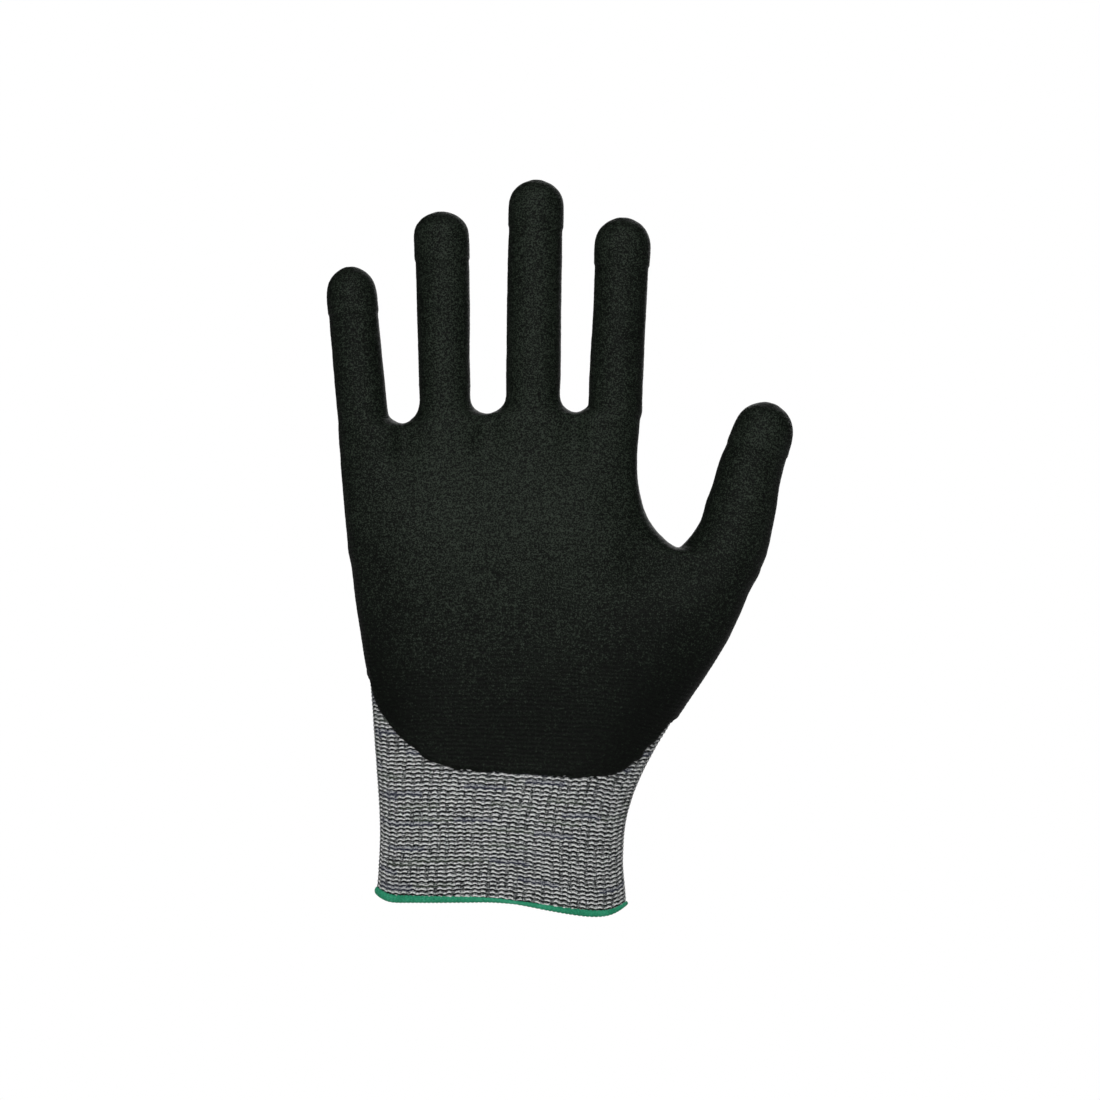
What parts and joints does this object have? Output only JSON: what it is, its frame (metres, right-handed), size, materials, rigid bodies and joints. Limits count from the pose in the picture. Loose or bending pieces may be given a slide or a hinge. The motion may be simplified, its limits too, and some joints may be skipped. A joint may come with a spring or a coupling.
{
  "type": "cut resistant glove",
  "caption": "Right-hand cut resistant work glove: seamless grey knit liner, black foam palm coating dipped over fingers and palm, elastic knit cuff with a green overlocked hem.",
  "frame": {"origin": "centre of the cuff opening, level with the lowest point of the hem", "axes": "+Z along the fingers, -Y out of the palm, +X towards the thumb (right hand)"},
  "size_m": [0.1541, 0.0313, 0.245],
  "materials": {
    "knit": "matt grey melange of light and dark yarns, knitted",
    "coating": "matt black micro-foam with a fine sandy grain",
    "hem": "green overlock thread, satin",
    "elastic": "white covered elastic yarn, matt"
  },
  "bodies": {
    "cuff": {"knit_cuff": "knit", "cuff_elastic": "elastic", "overlock_hem": "hem"},
    "palm": {"palm_liner": "knit", "palm_coating": "coating"},
    "knuckle_band": {"knuckle_liner": "knit", "knuckle_coating": "coating"},
    "little_base": {"little_base_liner": "knit", "little_base_coating": "coating"},
    "little_middle": {"little_middle_liner": "knit", "little_middle_coating": "coating"},
    "little_tip": {"little_tip_liner": "knit", "little_tip_coating": "coating"},
    "ring_base": {"ring_base_liner": "knit", "ring_base_coating": "coating"},
    "ring_middle": {"ring_middle_liner": "knit", "ring_middle_coating": "coating"},
    "ring_tip": {"ring_tip_liner": "knit", "ring_tip_coating": "coating"},
    "middle_base": {"middle_base_liner": "knit", "middle_base_coating": "coating"},
    "middle_middle": {"middle_middle_liner": "knit", "middle_middle_coating": "coating"},
    "middle_tip": {"middle_tip_liner": "knit", "middle_tip_coating": "coating"},
    "index_base": {"index_base_liner": "knit", "index_base_coating": "coating"},
    "index_middle": {"index_middle_liner": "knit", "index_middle_coating": "coating"},
    "index_tip": {"index_tip_liner": "knit", "index_tip_coating": "coating"},
    "thumb_base": {"thumb_base_liner": "knit", "thumb_base_coating": "coating"},
    "thumb_tip": {"thumb_tip_liner": "knit", "thumb_tip_coating": "coating"}
  },
  "joints": [
    {"name": "wrist_bend", "type": "hinge", "parent": "cuff", "child": "palm", "pos_m": [0, 0, 0.036], "axis": [1, 0, 0], "range_deg": [-50, 60], "stiffness_Nm_per_rad": 0.15},
    {"name": "knuckle_fold", "type": "hinge", "parent": "palm", "child": "knuckle_band", "pos_m": [-0.004, 0, 0.146], "axis": [1, 0, 0], "range_deg": [-15, 45], "stiffness_Nm_per_rad": 0.06},
    {"name": "little_base_bend", "type": "hinge", "parent": "knuckle_band", "child": "little_base", "pos_m": [-0.04608, 0, 0.16947], "axis": [0.9959, 0, 0.0902], "range_deg": [0, 50], "stiffness_Nm_per_rad": 0.02},
    {"name": "little_middle_bend", "type": "hinge", "parent": "little_base", "child": "little_middle", "pos_m": [-0.04738, 0, 0.18391], "axis": [0.9959, 0, 0.0902], "range_deg": [0, 85], "stiffness_Nm_per_rad": 0.02},
    {"name": "little_tip_bend", "type": "hinge", "parent": "little_middle", "child": "little_tip", "pos_m": [-0.04874, 0, 0.19885], "axis": [0.9959, 0, 0.0902], "range_deg": [0, 45], "stiffness_Nm_per_rad": 0.02},
    {"name": "ring_base_bend", "type": "hinge", "parent": "knuckle_band", "child": "ring_base", "pos_m": [-0.01858, 0, 0.172], "axis": [0.9997, 0, 0.0234], "range_deg": [0, 50], "stiffness_Nm_per_rad": 0.02},
    {"name": "ring_middle_bend", "type": "hinge", "parent": "ring_base", "child": "ring_middle", "pos_m": [-0.01903, 0, 0.19149], "axis": [0.9997, 0, 0.0234], "range_deg": [0, 85], "stiffness_Nm_per_rad": 0.02},
    {"name": "ring_tip_bend", "type": "hinge", "parent": "ring_middle", "child": "ring_tip", "pos_m": [-0.01952, 0, 0.21249], "axis": [0.9997, 0, 0.0234], "range_deg": [0, 45], "stiffness_Nm_per_rad": 0.02},
    {"name": "middle_base_bend", "type": "hinge", "parent": "knuckle_band", "child": "middle_base", "pos_m": [0.01055, 0, 0.1737], "axis": [0.9998, 0, -0.0193], "range_deg": [0, 50], "stiffness_Nm_per_rad": 0.02},
    {"name": "middle_middle_bend", "type": "hinge", "parent": "middle_base", "child": "middle_middle", "pos_m": [0.01096, 0, 0.1952], "axis": [0.9998, 0, -0.0193], "range_deg": [0, 85], "stiffness_Nm_per_rad": 0.02},
    {"name": "middle_tip_bend", "type": "hinge", "parent": "middle_middle", "child": "middle_tip", "pos_m": [0.01142, 0, 0.21919], "axis": [0.9998, 0, -0.0193], "range_deg": [0, 45], "stiffness_Nm_per_rad": 0.02},
    {"name": "index_base_bend", "type": "hinge", "parent": "knuckle_band", "child": "index_base", "pos_m": [0.03831, 0, 0.17299], "axis": [0.9992, 0, -0.0412], "range_deg": [0, 50], "stiffness_Nm_per_rad": 0.02},
    {"name": "index_middle_bend", "type": "hinge", "parent": "index_base", "child": "index_middle", "pos_m": [0.03907, 0, 0.19148], "axis": [0.9992, 0, -0.0412], "range_deg": [0, 85], "stiffness_Nm_per_rad": 0.02},
    {"name": "index_tip_bend", "type": "hinge", "parent": "index_middle", "child": "index_tip", "pos_m": [0.03985, 0, 0.21046], "axis": [0.9992, 0, -0.0412], "range_deg": [0, 45], "stiffness_Nm_per_rad": 0.02},
    {"name": "thumb_swing", "type": "hinge", "parent": "palm", "child": "thumb_base", "pos_m": [0.0656, 0, 0.1247], "axis": [0.5, 0, -0.866], "range_deg": [-10, 60], "stiffness_Nm_per_rad": 0.05},
    {"name": "thumb_tip_bend", "type": "hinge", "parent": "thumb_base", "child": "thumb_tip", "pos_m": [0.08185, 0, 0.14403], "axis": [0.9647, 0, -0.2633], "range_deg": [0, 70], "stiffness_Nm_per_rad": 0.025}
  ]
}
